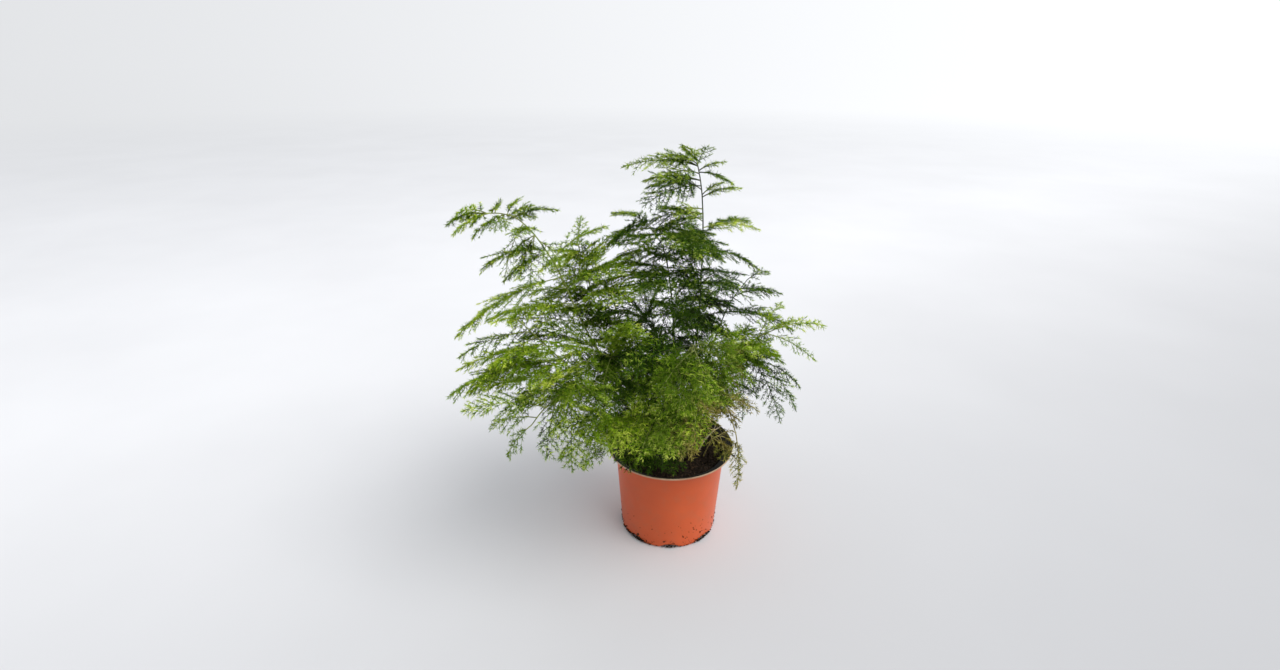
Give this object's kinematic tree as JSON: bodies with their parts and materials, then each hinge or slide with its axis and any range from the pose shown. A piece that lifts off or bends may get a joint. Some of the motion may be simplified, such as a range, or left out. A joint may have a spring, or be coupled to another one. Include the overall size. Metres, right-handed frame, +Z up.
{
  "type": "lace fern in pot",
  "caption": "Feathery asparagus fern with wiry stems and flat plumes of fine needles, growing from soil in a tapered round plastic nursery pot.",
  "frame": {"origin": "centre of the pot's flat underside, on the surface it stands on", "axes": "+Z up along the pot's axis; -Y towards the plant's front, as the picture sees it; -X towards the side the longest stem leans to"},
  "size_m": [0.3491, 0.2942, 0.3964],
  "materials": {
    "pot_plastic": "satin",
    "potting_soil": "matte",
    "dry_stem": "matte",
    "foliage_dark": "matte",
    "foliage_mid": "matte",
    "foliage_fresh": "matte",
    "foliage_olive": "matte"
  },
  "bodies": {
    "root": {"pot": "pot_plastic", "soil": "potting_soil", "dry_stem": "dry_stem", "stem_tall_centre": "foliage_dark", "stem_tall_back": "foliage_dark", "stem_centre_dark": "foliage_dark", "stem_long_left": "foliage_fresh", "stem_left_inner": "foliage_fresh", "stem_left_low": "foliage_fresh", "stem_left_front": "foliage_fresh", "stem_left_droop": "foliage_mid", "stem_front_left": "foliage_fresh", "stem_front_centre": "foliage_mid", "stem_front_high": "foliage_mid", "stem_front_mid": "foliage_mid", "stem_front_right": "foliage_olive", "stem_right_bright": "foliage_fresh", "stem_right_dark": "foliage_dark", "stem_right_back": "foliage_dark", "stem_back_left": "foliage_mid", "stem_back": "foliage_mid", "shoot_left": "foliage_mid", "shoot_front": "foliage_dark", "shoot_right": "foliage_olive"}
  },
  "joints": []
}
